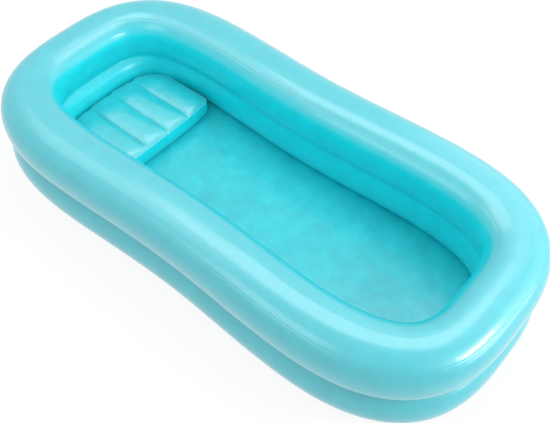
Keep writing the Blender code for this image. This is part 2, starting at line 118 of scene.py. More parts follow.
def newMaterial(name):
    material = bpy.data.materials.new(name)
    material.use_nodes = True
    tree = material.node_tree
    tree.nodes.clear()
    output = addNode(tree, 'ShaderNodeOutputMaterial')
    place = addNode(tree, 'ShaderNodeTexCoord').outputs['Object']
    return material, tree, output, place


def ramp(tree, source, stops):
    # a colour ramp from (place, colour) pairs
    node = addNode(tree, 'ShaderNodeValToRGB', links={'Fac': source})
    elements = node.color_ramp.elements
    while len(elements) < len(stops):
        elements.new(0.5)
    for element, (place, colour) in zip(elements, stops):
        element.position = place
        element.color = colour
    return node.outputs['Color']


def addNoise(tree, place, scale, detail, roughness=0.5):
    return addNode(tree, 'ShaderNodeTexNoise', {'Scale': scale, 'Detail': detail, 'Roughness': roughness},
                   {'Vector': place}).outputs['Fac']


def addRange(tree, source, low, high, start=0.0, end=1.0, kind='LINEAR'):
    settings = {'From Min': start, 'From Max': end, 'To Min': low, 'To Max': high,
                'interpolation_type': kind}
    return addNode(tree, 'ShaderNodeMapRange', settings, {'Value': source}).outputs['Result']


def addMath(tree, operation, first, second):
    return addNode(tree, 'ShaderNodeMath', {'operation': operation}, {0: first, 1: second}).outputs[0]


def addBump(tree, height, distance):
    return addNode(tree, 'ShaderNodeBump', {'Strength': 1.0, 'Distance': distance},
                   {'Height': height}).outputs['Normal']


def addPlastic(tree, output, settings, links):
    shader = addNode(tree, 'ShaderNodeBsdfPrincipled', dict(settings, Metallic=0.0), links)
    tree.links.new(shader.outputs['BSDF'], output.inputs['Surface'])


# the Mix node's colour sockets can't be told apart by name
mixShare, mixFrom, mixTo, mixResult = 0, 6, 7, 2


# Materials

outerFilm = {
    'colour': '#11B1BE',        # turquoise pigment, through and through
    'thick': '#0FADBA',         # where the calendered film runs a little thicker
    'thin': '#14B5C2',
    'cloudSize': 0.045,         # metres, clouds of film thickness
    'cloudDetail': 4.0,
    'cloudRoughness': 0.62,
    'grainSize': 0.0016,        # real calender grain is 0.1 mm, drawn coarser so that it shows at all
    'grainDepth': 0.00002,
    'roughness': (0.42, 0.50),
    'ior': 1.53,                # plasticised PVC
    'gloss': 1.0,               # the plasticiser at the surface makes it shine more than plain PVC
    'skin': 1.0,                # and leaves a clear skin on the film
    'skinRoughness': 0.17,
}
paintedLightFadeHeights = (0.222, 0.262)     # between these heights the inner wall's painted light fades and its film takes on the look of the outside


def paintedLightCopy(colour, thick, thin, gloss):
    # painted light: the same film, where it looks different for the light on it, with that light painted
    # into its colour and its gloss and clear skin weaker
    return dict(outerFilm, colour=colour, thick=thick, thin=thin, gloss=gloss, skin=gloss)


# painted light: inside the bath, daylight that comes through the chambers' film makes it look brighter and
# deeper, and these copies for the inner wall, the floor and the pillow have that light painted into their
# colour
innerFilmPaintedLight = paintedLightCopy('#0CD6E1', '#0AD1DC', '#0FDBE5', 0.42)
floorFilmPaintedLight = paintedLightCopy('#0DBDC8', '#0AB4BF', '#12C6D0', 0.5)
pillowFilmPaintedLight = paintedLightCopy('#0CBAC5', '#0AB4BF', '#10C0CB', 0.9)
# painted light: the side band stands on edge in the light that comes up from the floor, so it looks
# clearer, and that light is painted into its colour
bandFilmPaintedLight = paintedLightCopy('#0CDCE7', '#0AD7E2', '#10E1EC', 0.4)
# painted light: pressed thin in the weld, the film's edge lets light through and looks paler, and that
# light is painted into its colour
weldEdgePaintedGlow = paintedLightCopy('#46DFEA', '#3ED9E4', '#50E5F0', 1.0)


def makePvcFilm(name, p, rim=None):
    # Welded calendered PVC film: satin gloss, one deep pigment colour, soft clouds of thickness
    # from the rollers and a very fine grain that spreads the highlights a little.
    material, tree, output, place = newMaterial(name)
    cloud = addNoise(tree, place, 1 / p['cloudSize'], p['cloudDetail'], p['cloudRoughness'])
    colour = ramp(tree, cloud, [(0.32, toLinear(p['thick'])), (0.50, toLinear(p['colour'])),
                                (0.68, toLinear(p['thin']))])
    normal = addBump(tree, addNoise(tree, place, 1 / p['grainSize'], 2.0), p['grainDepth'])
    settings = {'IOR': p['ior'], 'Specular IOR Level': p['gloss'], 'Coat Weight': p['skin'],
                'Coat Roughness': p['skinRoughness'], 'Coat IOR': p['ior']}
    links = {'Base Color': colour, 'Roughness': addRange(tree, cloud, *p['roughness']),
             'Normal': normal, 'Coat Normal': normal}
    # painted light: given a rim, this copy's painted colour, gloss and skin fade by height into the rim
    # film's own
    if rim:
        height = addNode(tree, 'ShaderNodeSeparateXYZ', None, {'Vector': place}).outputs['Z']
        share = addRange(tree, height, 0.0, 1.0, *paintedLightFadeHeights)
        for socket, setting in (('Specular IOR Level', 'gloss'), ('Coat Weight', 'skin')):
            links[socket] = addRange(tree, share, p[setting], rim[setting])
            del settings[socket]
        mix = addNode(tree, 'ShaderNodeMix', {'data_type': 'RGBA', mixTo: toLinear(rim['colour'])},
                      {mixShare: share, mixFrom: colour})
        links['Base Color'] = mix.outputs[mixResult]
    addPlastic(tree, output, settings, links)
    return material


mouldedPvc = {
    'colour': '#14B4C2',
    'shade': '#0FABB9',
    'textureSize': 0.0009,      # spark-eroded mould face, about 0.3 mm, drawn a little coarser
    'textureDepth': 0.00003,
    'cloudScale': 60.0,
    'roughness': (0.38, 0.50),
    'ior': 1.53,
}


def makeMouldedPvc(name, p):
    # Injection-moulded soft PVC: the same pigment a shade deeper, with the mould's fine matt texture.
    material, tree, output, place = newMaterial(name)
    fine = addNoise(tree, place, 1 / p['textureSize'], 3.0)
    broad = addNoise(tree, place, p['cloudScale'], 2.0)
    colour = ramp(tree, broad, [(0.35, toLinear(p['shade'])), (0.65, toLinear(p['colour']))])
    addPlastic(tree, output, {'IOR': p['ior']},
               {'Base Color': colour, 'Roughness': addRange(tree, fine, *p['roughness']),
                'Normal': addBump(tree, fine, p['textureDepth'])})
    return material


softFlap = {
    'colour': '#DCE8EA',
    'shade': '#C9DADD',
    'cloudScale': 250.0,
    'roughness': 0.45,
    'clearness': 0.15,
    'ior': 1.53,
}


def makeSoftFlap(name, p):
    material, tree, output, place = newMaterial(name)
    broad = addNoise(tree, place, p['cloudScale'], 2.0)
    colour = ramp(tree, broad, [(0.3, toLinear(p['shade'])), (0.7, toLinear(p['colour']))])
    addPlastic(tree, output, {'IOR': p['ior'], 'Roughness': p['roughness'],
                              'Transmission Weight': p['clearness']}, {'Base Color': colour})
    return material


outerMaterial = makePvcFilm('calenderedPvcFilm', outerFilm)
innerPaintedLightMaterial = makePvcFilm('calenderedPvcFilmInsidePaintedLight', innerFilmPaintedLight, outerFilm)
floorPaintedLightMaterial = makePvcFilm('calenderedPvcFilmFloorPaintedLight', floorFilmPaintedLight)
weldPaintedGlowMaterial = makePvcFilm('pressedWeldEdgePaintedGlow', weldEdgePaintedGlow)
bandPaintedLightMaterial = makePvcFilm('calenderedPvcFilmBandPaintedLight', bandFilmPaintedLight)
pillowPaintedLightMaterial = makePvcFilm('calenderedPvcFilmPillowPaintedLight', pillowFilmPaintedLight)
mouldedMaterial = makeMouldedPvc('injectionMouldedPvc', mouldedPvc)
flapMaterial = makeSoftFlap('pressedClearPvc', softFlap)
print('materials made')


# The tub's form, the same curves as the CAD solids but finer

tub = {
    'halfLength': 0.758,
    'halfWidth': 0.396,
    'squareness': 3.15,
    'waistShare': 0.2365,
    'waistReach': 1.4,
    'rim': 0.275,
    'upperBulge': 0.197,
    'outerCrease': 0.126,
    'innerCrease': 0.133,
    'lowerBulge': 0.066,
    'floor': 0.020,
    # reach from the centre line at the long sides, the head and the foot
    'upperOut': (0.0930, 0.0652, 0.0836),
    'upperIn': (0.0918, 0.0918, 0.0836),
    'lowerIn': (0.0881, 0.1144, 0.0802),
    'lowerSetIn': (0.0080, 0.0015, 0.0035),
    'outerCreaseDepth': 0.040,
    'innerCreaseDepth': 0.013,
    'contactHalfWidth': 0.018,
    'outerWeld': 45.0,
    'innerWeld': (51.0, 62.0, 51.0),
    'creaseFillet': 5,          # times that the inner crease is eased, as tight film bridges it
    'crispStretch': (0.45, 0.07),   # the far side's crease pulls tight here, by place and spread
    'headCrispness': 0.75,      # at the head the pillow's end pulls the crease in more sharply
    'baseSeam': 55.0,
    'creaseTurn': 62.0,
    'upperFullness': 2.3,
    'lowerFullness': 2.1,
    'crownSteps': 10,           # columns from the top weld to the widest place
    'sideSteps': 14,            # columns from there to the crease, and on to the lower widest place
    'film': 0.0004,
    'stations': 640,
}
# the lower chamber's inside comes down to the floor's height at this angle
tub['floorWeld'] = math.degrees(math.asin(((tub['lowerBulge'] - tub['floor']) / tub['lowerBulge'])
                                          ** (tub['lowerFullness'] / 2)))

detail = {
    'weldDepth': 0.0005,        # groove that the weld pulls into the film
    'weldWidth': 0.0011,
    'edgeSteps': (0.0005, 0.0010, 0.0016, 0.0025),      # where columns follow the groove's shape
    'puckerDepth': 0.00025,     # tiny gathers along the welds
    'puckerPitch': 0.013,
    'puckerReach': 0.010,
    'swell': 0.0007,            # slow unevenness of the blown film
    'swellSize': 0.190,
    'dimple': 0.00012,
    'dimpleSize': 0.060,
    'pleatStart': 0.010,        # the weld itself holds still
    'cornerPleat': 0.0007,      # upright pleats where the inner wall is gathered round the bends
    'cornerPleatPitch': 0.034,
    'cornerPleatReach': 0.030,
}


def makeStations(t, fine=4096, bendWeight=0.28):
    # points and outward directions spaced by length, closer together in the bends
    turn = 2 * np.pi * (np.arange(fine) + 0.5) / fine
    c, s = np.cos(turn), np.sin(turn)
    power = 2 / t['squareness']
    x = t['halfLength'] * np.sign(c) * np.abs(c) ** power
    y = t['halfWidth'] * np.sign(s) * np.abs(s) ** power
    reachShare = np.clip(x / (t['waistReach'] * t['halfLength']), -1, 1)
    y = y * (1 - t['waistShare'] * (1 + np.cos(np.pi * reachShare)) / 2)
    x = x + (t['upperOut'][1] - t['upperOut'][2]) / 2
    nextX, nextY = np.roll(x, -1), np.roll(y, -1)
    step = np.hypot(nextX - x, nextY - y)
    heading = np.arctan2(nextY - y, nextX - x)
    bend = np.abs((heading - np.roll(heading, 1) + np.pi) % (2 * np.pi) - np.pi)
    weighted = np.concatenate([[0], np.cumsum(step + bendWeight * t['halfWidth'] * 2 * bend)])
    length = np.concatenate([[0], np.cumsum(step)])
    goals = weighted[-1] * (np.arange(t['stations']) + 0.5) / t['stations']

    def atGoals(values):
        return np.interp(goals, weighted, np.append(values, values[0]))

    along = np.interp(goals, weighted, length)
    dx, dy = np.roll(x, -1) - np.roll(x, 1), np.roll(y, -1) - np.roll(y, 1)
    size = np.hypot(dx, dy)
    nx, ny = atGoals(dy / size), atGoals(-dx / size)
    size = np.hypot(nx, ny)
    return {'x': atGoals(x), 'y': atGoals(y), 'nx': nx / size, 'ny': ny / size, 'along': along,
            'total': length[-1], 'bend': atGoals(bend / step)}


def reach(values, nx):
    side, head, foot = values
    return side + (np.where(nx < 0, head, foot) - side) * nx ** 2


def arc(start, end, fullness, first, last, steps, stop=90.0):
    # part of a quarter arc for every station at once, as (station, step, out and up)
    power = 2 / fullness
    share = np.linspace(0, 1, steps + 1)[None, :]
    turn = np.radians(np.asarray(first)[..., None] * (1 - share) + np.asarray(last)[..., None] * share)
    cosine = np.maximum(np.cos(turn), 0) ** power
    sine = np.maximum(np.sin(turn), 0) ** power
    across = 1 - math.cos(math.radians(stop)) ** power
    rise = math.sin(math.radians(stop)) ** power
    out = start[0][:, None] + (end[0] - start[0])[:, None] * (1 - cosine) / across
    up = start[1][:, None] + (end[1] - start[1])[:, None] * sine / rise
    return np.stack(np.broadcast_arrays(out, up), axis=-1)


def sectionPoints(t, st):
    # for every station, how far out from the centre line and how far up
    upperOut, upperIn, lowerIn, setIn = (reach(t[key], st['nx'])
                                         for key in ('upperOut', 'upperIn', 'lowerIn', 'lowerSetIn'))
    places = {
        'top': (0, t['rim']),
        'upperOut': (upperOut, t['upperBulge']),
        'creaseOut': (upperOut - t['outerCreaseDepth'], t['outerCrease']),
        'lowerOut': (upperOut - setIn, t['lowerBulge']),
        'footOut': (t['contactHalfWidth'], 0),
        'upperIn': (-upperIn, t['upperBulge']),
        'creaseIn': (t['innerCreaseDepth'] - upperIn, t['innerCrease']),
        'lowerIn': (-lowerIn, t['lowerBulge']),
        'footIn': (-t['contactHalfWidth'], 0),
    }
    ones = np.ones_like(st['nx'])
    return {name: (out * ones, up * ones) for name, (out, up) in places.items()}


def joinLines(*parts):
    return np.concatenate([parts[0]] + [p[:, 1:] for p in parts[1:]], axis=1)


def easeCrease(line, column, times, share, width=5):
    # rounds a crease by averaging, strongest at the crease itself, by a share for each station
    line = line.copy()
    near = np.exp(-((np.arange(line.shape[1]) - column) / width) ** 2)[None, 1:-1, None]
    near = near * np.asarray(share)[:, None, None]
    for _ in range(times):
        mean = (line[:, :-2] + line[:, 2:]) / 2
        line[:, 1:-1] += (mean - line[:, 1:-1]) * near
    return line


def topLine(t, st, s):
    weld = reach(t['innerWeld'], st['nx'])
    outside = arc(s['upperOut'], s['top'], t['upperFullness'], t['outerWeld'], 90.0, 16)
    inside = arc(s['upperIn'], s['top'], t['upperFullness'], weld, 90.0, 16)
    return joinLines(outside, inside[:, ::-1])


def wallLine(t, s, side, weld, lastTurn, lastSteps):
    # from the top weld out over the upper bulge, in to the crease, out over the lower one and under
    turn = t['creaseTurn']
    upper, crease, lower, foot = (s[part + side] for part in ('upper', 'crease', 'lower', 'foot'))
    return joinLines(arc(upper, s['top'], t['upperFullness'], weld, 0.0, t['crownSteps']),
                     arc(upper, crease, t['upperFullness'], 0.0, turn, t['sideSteps'], turn),
                     arc(lower, crease, t['lowerFullness'], turn, 0.0, t['sideSteps'], turn),
                     arc(lower, foot, t['lowerFullness'], 0.0, lastTurn, lastSteps))


def innerLine(t, st, s):
    line = wallLine(t, s, 'In', reach(t['innerWeld'], st['nx']), t['floorWeld'], 8)
    share = 1 - t['headCrispness'] * np.clip((-st['nx'] - 0.3) / 0.5, 0, 1)
    place, spread = t['crispStretch']
    share = share - t['headCrispness'] * np.exp(-((st['x'] - place) / spread) ** 2) * (st['y'] > 0)
    return easeCrease(line, t['crownSteps'] + t['sideSteps'], t['creaseFillet'], share)


def underLine(t, s):
    # from the floor weld down and under the lower chamber to the outer seam
    inside = arc(s['lowerIn'], s['footIn'], t['lowerFullness'], t['floorWeld'], 90.0, 14)
    outside = arc(s['lowerOut'], s['footOut'], t['lowerFullness'], 90.0, t['baseSeam'], 8)
    return np.concatenate([inside, outside], axis=1)


def fineEdges(line, steps):
    # extra columns close to both edges, fine enough for the narrow groove of a weld
    parts = []
    for edge, inner in ((line[:, 0], line[:, 1]), (line[:, -1], line[:, -2])):
        length = np.linalg.norm(inner - edge, axis=-1, keepdims=True)
        parts.append(np.stack([edge + (inner - edge) * step / length for step in steps], axis=1))
    return np.concatenate([line[:, :1], parts[0], line[:, 1:-1], parts[1][:, ::-1], line[:, -1:]], axis=1)


def sweep(st, line):
    # section points to world points
    x = st['x'][:, None] + st['nx'][:, None] * line[..., 0]
    y = st['y'][:, None] + st['ny'][:, None] * line[..., 0]
    return np.stack([x, y, line[..., 1]], axis=-1)


def gridNormals(points):
    # for a grid that is closed in its first direction
    along = np.roll(points, -1, axis=0) - np.roll(points, 1, axis=0)
    across = np.gradient(points, axis=1)
    normals = np.cross(along, across)
    return normals / np.maximum(np.linalg.norm(normals, axis=-1, keepdims=True), 1e-12)


def noiseField(points, size, offset=0.0):
    flat = points.reshape(-1, 3) / size + offset
    return np.array([noise.noise(p) for p in flat.tolist()]).reshape(points.shape[:-1])


def seamDistance(line, end):
    # length across the sheet from one of its edges, or from a crease at a given column
    step = np.linalg.norm(np.diff(line, axis=1), axis=-1)
    total = np.concatenate([np.zeros((len(line), 1)), np.cumsum(step, axis=1)], axis=1)
    return np.abs(total - total[:, end][:, None])


def ringNoise(st, repeats, phase):
    # noise round the ring that closes on itself, about so many waves in all
    size = repeats / 6.28
    ring = 2 * np.pi * st['along'] / st['total']
    return np.array([noise.noise((math.cos(a) * size, math.sin(a) * size, phase)) for a in ring])


def seamValley(st, distance, d, phase, depthShare, puckerShare):
    # the groove that a weld pulls in, and the small gathers that run off it
    gather = ringNoise(st, max(1, round(st['total'] / d['puckerPitch'])), phase)[:, None]
    groove = d['weldDepth'] * depthShare * np.exp(-(distance / d['weldWidth']) ** 2)
    fade = np.exp(-distance / d['puckerReach'])
    return -groove + d['puckerDepth'] * puckerShare * gather * fade


def blownFilm(points, d):
    swell = d['swell'] * noiseField(points, d['swellSize'], 3.1)
    return swell + d['dimple'] * noiseField(points, d['dimpleSize'], 9.7)


def flattenAt(points, ports):
    # the film lies flat under a stiff moulded flange and curves away from its edge
    for port in ports:
        inverse = port['place'].inverted()
        turn = np.array(inverse.to_3x3())
        local = points @ turn.T + np.array(inverse.translation)
        radius = np.hypot(local[..., 0], local[..., 1])
        near = (radius < port['filmEnd']) & (np.abs(local[..., 2]) < 0.03)
        share = np.clip((port['filmEnd'] - radius) / (port['filmEnd'] - port['filmStart']), 0, 1)
        share = share * share * (3 - 2 * share) * near
        local[..., 2] = local[..., 2] * (1 - share) + port['filmHeight'] * share
        back = np.array(port['place'].to_3x3())
        points = local @ back.T + np.array(port['place'].translation)
    return points


def linkMesh(name, points, faces, material, angle=40.0):
    mesh = bpy.data.meshes.new(name)
    mesh.from_pydata(np.reshape(points, (-1, 3)).tolist(), [], faces)
    mesh.update()
    piece = newObject(name, mesh)
    mesh.shade_smooth()
    mesh.set_sharp_from_angle(angle=math.radians(angle))
    mesh.materials.append(material)
    return piece


def ringFaces(count, width):
    faces = []
    for i in range(count):
        here, ahead = i * width, (i + 1) % count * width
        faces += [(here + j, ahead + j, ahead + j + 1, here + j + 1) for j in range(width - 1)]
    return faces


def gridFaces(columns, rows, flipped=False):
    corners = (0, 1, rows + 1, rows) if flipped else (0, rows, rows + 1, 1)
    return [tuple(i * rows + j + corner for corner in corners)
            for i in range(columns - 1) for j in range(rows - 1)]


def thicken(piece, thickness, offset=-1.0):
    # the cut edges stay sharp, so that the film's shading runs flat up to them
    mesh = piece.data
    edgeOf = np.empty(len(mesh.loops), int)
    mesh.loops.foreach_get('edge_index', edgeOf)
    cut = np.bincount(edgeOf, minlength=len(mesh.edges)) == 1
    for index in np.flatnonzero(cut).tolist():
        mesh.edges[index].use_edge_sharp = True
    solid = piece.modifiers.new('film', 'SOLIDIFY')
    solid.thickness = thickness
    solid.offset = offset
    solid.use_even_offset = False


def applyAll(piece):
    bpy.context.view_layer.update()
    graph = bpy.context.evaluated_depsgraph_get()
    mesh = bpy.data.meshes.new_from_object(piece.evaluated_get(graph), depsgraph=graph)
    piece.modifiers.clear()
    old = piece.data
    piece.data = mesh
    bpy.data.meshes.remove(old)


def meshObject(name, mesh):
    data = bpy.data.meshes.new(name)
    mesh.to_mesh(data)
    mesh.free()
    return newObject(name, data)


def combine(piece, mesh, operation='UNION'):
    other = meshObject('other', mesh)
    join = piece.modifiers.new('join', 'BOOLEAN')
    join.operation = operation
    join.object = other
    applyAll(piece)
    bpy.data.objects.remove(other)


def cutHole(piece, port, depth):
    # a round hole for a seat, a little smaller than the flange that covers it
    mesh = bmesh.new()
    radius = port['flange'] - port['holeInset']
    bmesh.ops.create_cone(mesh, cap_ends=True, segments=96, radius1=radius, radius2=radius, depth=depth,
                          matrix=port['place'])
    combine(piece, mesh, 'DIFFERENCE')


# Where the valves and the drain stand, read from the CAD seats

valve = {
    'flange': 0.015, 'proud': 0.0006, 'depth': 0.0024, 'stem': 0.0075, 'rise': 0.008, 'bore': 0.0043,
    'skirt': 0.0062, 'drop': 0.006, 'lid': 0.0086, 'lidHeight': 0.002, 'plug': 0.0040, 'tip': 0.0030,
    'plugDepth': 0.0056, 'pivot': 0.014, 'strap': 0.0058, 'strapHeight': 0.0008, 'knuckle': 0.0013,
    'filmStart': 0.017, 'filmEnd': 0.052, 'filmHeight': -0.0002, 'gap': 0.0003, 'holeInset': 0.002,
    'holeDepth': 0.05,
}
drain = {
    'flange': 0.024, 'proud': 0.0006, 'depth': 0.0024, 'stem': 0.0150, 'rise': 0.003, 'bore': 0.0110,
    'skirt': 0.0135, 'drop': 0.009, 'lid': 0.0162, 'lidHeight': 0.002, 'plug': 0.0106, 'tip': 0.0092,
    'plugDepth': 0.0070, 'pivot': 0.024, 'strap': 0.0090, 'strapHeight': 0.0008, 'knuckle': 0.0013,
    'filmStart': 0.026, 'filmEnd': 0.060, 'filmHeight': -0.0002, 'gap': 0.0003, 'holeInset': 0.002,
    'holeDepth': 0.03,
}


def portPlace(node, size, axis):
    low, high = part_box(node)
    middle = (Vector(low) + Vector(high)) / 2
    if axis == 'Y':
        turn = Matrix(((1, 0, 0), (0, 0, 1), (0, -1, 0))).to_4x4()
        return Matrix.Translation((middle.x, high[1] - size['rise'], middle.z)) @ turn
    return Matrix.Translation((middle.x, middle.y, high[2] - size['rise']))


# each one's name, sizes, the axis that it points along and the body of its cap or plug
ports = [dict(size, name=name, place=portPlace(name + '_seat', size, axis), bodyName=body)
         for name, size, axis, body in (
             ('upper_valve', valve, 'Y', 'upper_cap'), ('lower_valve', valve, 'Y', 'lower_cap'),
             ('pillow_valve', valve, 'Z', 'pillow_cap'), ('drain', drain, 'Z', 'plug'))]
upperPort, lowerPort, pillowPort, drainPort = ports

stations = makeStations(tub)
section = sectionPoints(tub, stations)


def makeRingSheet(name, line, normalSign, valleys, material=outerMaterial, extra=0.0, portsHere=()):
    points = sweep(stations, line)
    normals = gridNormals(points) * normalSign
    shift = blownFilm(points, detail) + extra
    for column, phase, depthShare, puckerShare in valleys:
        distance = seamDistance(line, column)
        shift = shift + seamValley(stations, distance, detail, phase, depthShare, puckerShare)
    points = points + normals * shift[..., None]
    points = flattenAt(points, portsHere)
    points[..., 2] = np.clip(points[..., 2], 0, tub['rim'])
    width = points.shape[1]
    faces = ringFaces(len(points), width)
    if normalSign < 0:
        faces = [f[::-1] for f in faces]
    piece = linkMesh(name, points, faces, material, 50.0)
    thicken(piece, tub['film'])
    for port in portsHere:
        cutHole(piece, port, port['holeDepth'])
    return piece


def cornerPleats(line, fromColumn, toColumn):
    # upright pleats on the inner wall, strongest in the tight bends and near the welds
    wave = ringNoise(stations, stations['total'] / detail['cornerPleatPitch'], 4.4)
    tight = np.clip(stations['bend'] / 6.0, 0, 1)
    fade = sum(np.exp(-seamDistance(line, column) / detail['cornerPleatReach'])
               for column in (fromColumn, toColumn))
    start = np.clip(seamDistance(line, fromColumn) / detail['pleatStart'], 0, 1)
    return detail['cornerPleat'] * (wave * (0.25 + tight))[:, None] * fade * start


outer = fineEdges(wallLine(tub, section, 'Out', tub['outerWeld'], tub['baseSeam'], 10), detail['edgeSteps'])
inner = fineEdges(innerLine(tub, stations, section), detail['edgeSteps'])
top = fineEdges(topLine(tub, stations, section), detail['edgeSteps'])
crease = tub['crownSteps'] + tub['sideSteps'] + len(detail['edgeSteps'])    # its column in both walls
outerValleys = [(0, 1.3, 1.0, 1.0), (crease, 5.9, 0.3, 1.6), (-1, 2.2, 1.0, 1.5)]
innerValleys = [(0, 7.7, 1.0, 1.2), (crease, 8.8, 0.0, 0.6), (-1, 3.6, 0.6, 1.0)]
outerWall = makeRingSheet('outerWall', outer, -1, outerValleys, portsHere=(upperPort, lowerPort))
pleats = cornerPleats(inner, 0, crease)
innerWall = makeRingSheet('innerWall', inner, 1, innerValleys, innerPaintedLightMaterial, pleats)
topSheet = makeRingSheet('topSheet', top, 1, [(0, 1.3, 1.0, 1.0), (-1, 7.7, 1.0, 1.2)])

web = np.stack([np.stack(section['creaseOut'], axis=-1) - [tub['film'], 0],
                np.stack(section['creaseIn'], axis=-1) + [tub['film'], 0]], axis=1)
webShare = np.linspace(0, 1, 9)[None, :, None]
dividerWeb = makeRingSheet('dividerWeb', web[:, :1] * (1 - webShare) + web[:, 1:] * webShare, 1, [])
print('chamber sheets swept')


# Floor of the bath, one film hung between the walls at the weld

floorFilm = {
    'rows': 40,
    'spineShare': 0.62,         # the rows run in to a line along the middle, this share of its length
    'sag': 0.0009,              # slow unevenness
    'sagSize': 0.240,
    'ripple': 0.0005,
    'rippleSize': 0.048,
    'gather': 0.0016,           # soft folds that run in from the floor weld
    'gatherPitch': 0.110,
    'gatherReach': 0.090,
    'tuck': 0.0012,             # the edge runs this far into the weld behind the wall
}


def makeFloor(f):
    weld = underLine(tub, section)[:, 0]
    edgeLine = np.stack([weld[:, 0] + f['tuck'], 0 * weld[:, 0] + tub['floor']], axis=-1)
    edge = sweep(stations, edgeLine[:, None])[:, 0]
    end = np.abs(edge[:, 0]).max() * f['spineShare']
    middle = (edge[:, 0] + edge[::-1, 0]) / 2           # a station and its mirrored one share a point
    spine = np.stack([np.clip(middle, -end, end), 0 * middle, edge[:, 2]], axis=-1)
    inward = np.linspace(0, 1, f['rows'] + 1)[None, :, None]
    points = spine[:, None] * (1 - inward) + edge[:, None] * inward
    level = f['sag'] * noiseField(points, f['sagSize'], 5.5)
    level = level + f['ripple'] * noiseField(points, f['rippleSize'], 1.9)
    fold = ringNoise(stations, stations['total'] / f['gatherPitch'], 6.6)[:, None]
    inwards = np.linalg.norm(points - edge[:, None], axis=-1)
    level = level + f['gather'] * fold * np.exp(-(inwards / f['gatherReach']) ** 2)
    points[..., 2] += level * np.clip(inwards / 0.02, 0, 1)
    points = flattenAt(points, [drainPort])
    faces = [face[::-1] for face in ringFaces(len(points), points.shape[1])]
    piece = linkMesh('floorFilm', points, faces, floorPaintedLightMaterial, 50.0)
    mesh = bmesh.new()
    mesh.from_mesh(piece.data)
    bmesh.ops.remove_doubles(mesh, verts=mesh.verts, dist=0.00002)
    bmesh.ops.dissolve_degenerate(mesh, dist=0.00001, edges=mesh.edges)
    mesh.to_mesh(piece.data)
    mesh.free()
    thicken(piece, tub['film'])
    cutHole(piece, drainPort, drainPort['holeDepth'])
    return piece


bathFloor = makeFloor(floorFilm)
baseValleys = [(0, 3.6, 0.6, 1.0), (-1, 2.2, 1.0, 1.5)]
baseFilm = makeRingSheet('baseFilm', underLine(tub, section), 1, baseValleys)
print('floor and base film laid')


# Head pillow

pillow = {
    'front': 0.381,
    'frontBow': 0.010,
    'frontCorner': 0.018,       # the front corners are cut round
    'halfWidth': 0.206,
    'height': 0.054,
    'crown': 0.006,
    'sideBulge': 0.004,
    'wallGap': 0.002,
    'lineMargins': (0.020, 0.022, 0.040),   # the channel welds stop this far short of the front
    'backMargin': 0.006,
    'frontRise': 0.026,         # length in which a channel swells up from the front edge
    'backRise': 0.085,
    'rib': 0.009,
    'lines': (-0.077, 0.015, 0.107),    # the channel welds, across the pillow
    'columns': 96,              # a multiple of the four channels, so that columns fall on the lines
    'rows': 64,
    'bandSteps': 14,
    'gap': 0.0003,
    'valveRoom': 0.040,         # the hole for the valve reaches half of this down, clear of the open flap
    'backGap': 0.0025,          # the back edge stands off the wall
    'notch': 0.0040,            # and is pulled in at each channel weld
    'notchWidth': 0.010,
    'backUneven': 0.0018,       # and runs a little uneven between them
    'backUnevenSize': 0.035,
    'tuck': 0.0035,             # the side band runs in under the pillow down to its base weld
    'bandPleat': 0.0007,        # upright unevenness of the side band
    'bandPleatSize': 0.022,
    'weldRadius': 0.0013,       # the trimmed edge that stands out round the pillow's welds
    'lipFront': 0.4,            # it shows where the outline faces the foot more than this
    'lipTrim': 0.25,            # and is trimmed to this share where it lies along the walls
    'wrinkle': 0.0006,
    'wrinklePitch': 0.016,
    'wrinkleReach': 0.016,
    'calm': 12,                 # times that the blown film is eased, as tight film has no kinks
    'frames': 20,
    'moveLimit': 0.004,
}


def channelEdges(p):
    return [-p['halfWidth'], *p['lines'], p['halfWidth']]


def pillowOutline(p):
    inset = -section['lowerIn'][0] + p['wallGap'] + p['sideBulge']
    wallX = stations['x'] - stations['nx'] * inset
    wallY = stations['y'] - stations['ny'] * inset
    behind = wallX < -p['front']
    order = np.argsort(wallY[behind])
    # even columns in each channel, closer together towards the sides, where the outline turns
    share = 2 * np.arange(p['columns'] + 1) / p['columns'] - 1
    outer = np.clip(np.abs(share) * 2 - 1, 0, 1)
    closer = (0.3 * outer + 0.7 * np.sin(np.pi / 2 * outer)) / 2 + 0.5
    even = np.sign(share) * np.where(np.abs(share) > 0.5, closer, np.abs(share))
    edges = channelEdges(p)
    y = np.interp(even, np.linspace(-1, 1, len(edges)), edges)
    front = p['frontBow'] * (1 - (y / p['halfWidth']) ** 4) - p['front']
    corner = np.clip(np.abs(y) - (p['halfWidth'] - p['frontCorner']), 0, p['frontCorner'])
    front = front - (p['frontCorner'] - np.sqrt(p['frontCorner'] ** 2 - corner ** 2))
    back = np.interp(y, wallY[behind][order], wallX[behind][order])
    # the webs pull the back edge in at each channel line, and the film between them is a little uneven
    notch = sum(np.exp(-((y - line) / p['notchWidth']) ** 2) for line in p['lines'])
    uneven = np.array([noise.noise((v / p['backUnevenSize'], 8.3, 0.0)) for v in y.tolist()])
    inside = np.clip((p['halfWidth'] - np.abs(y)) / p['frontCorner'], 0, 1)
    back = back + (p['backGap'] + p['notch'] * notch + p['backUneven'] * (1 + uneven)) * inside
    return y, front, back


def pillowLevels(p):
    low = tub['floor'] + tub['film'] + p['gap']
    return low, low + tub['film'] / 2 + p['height']


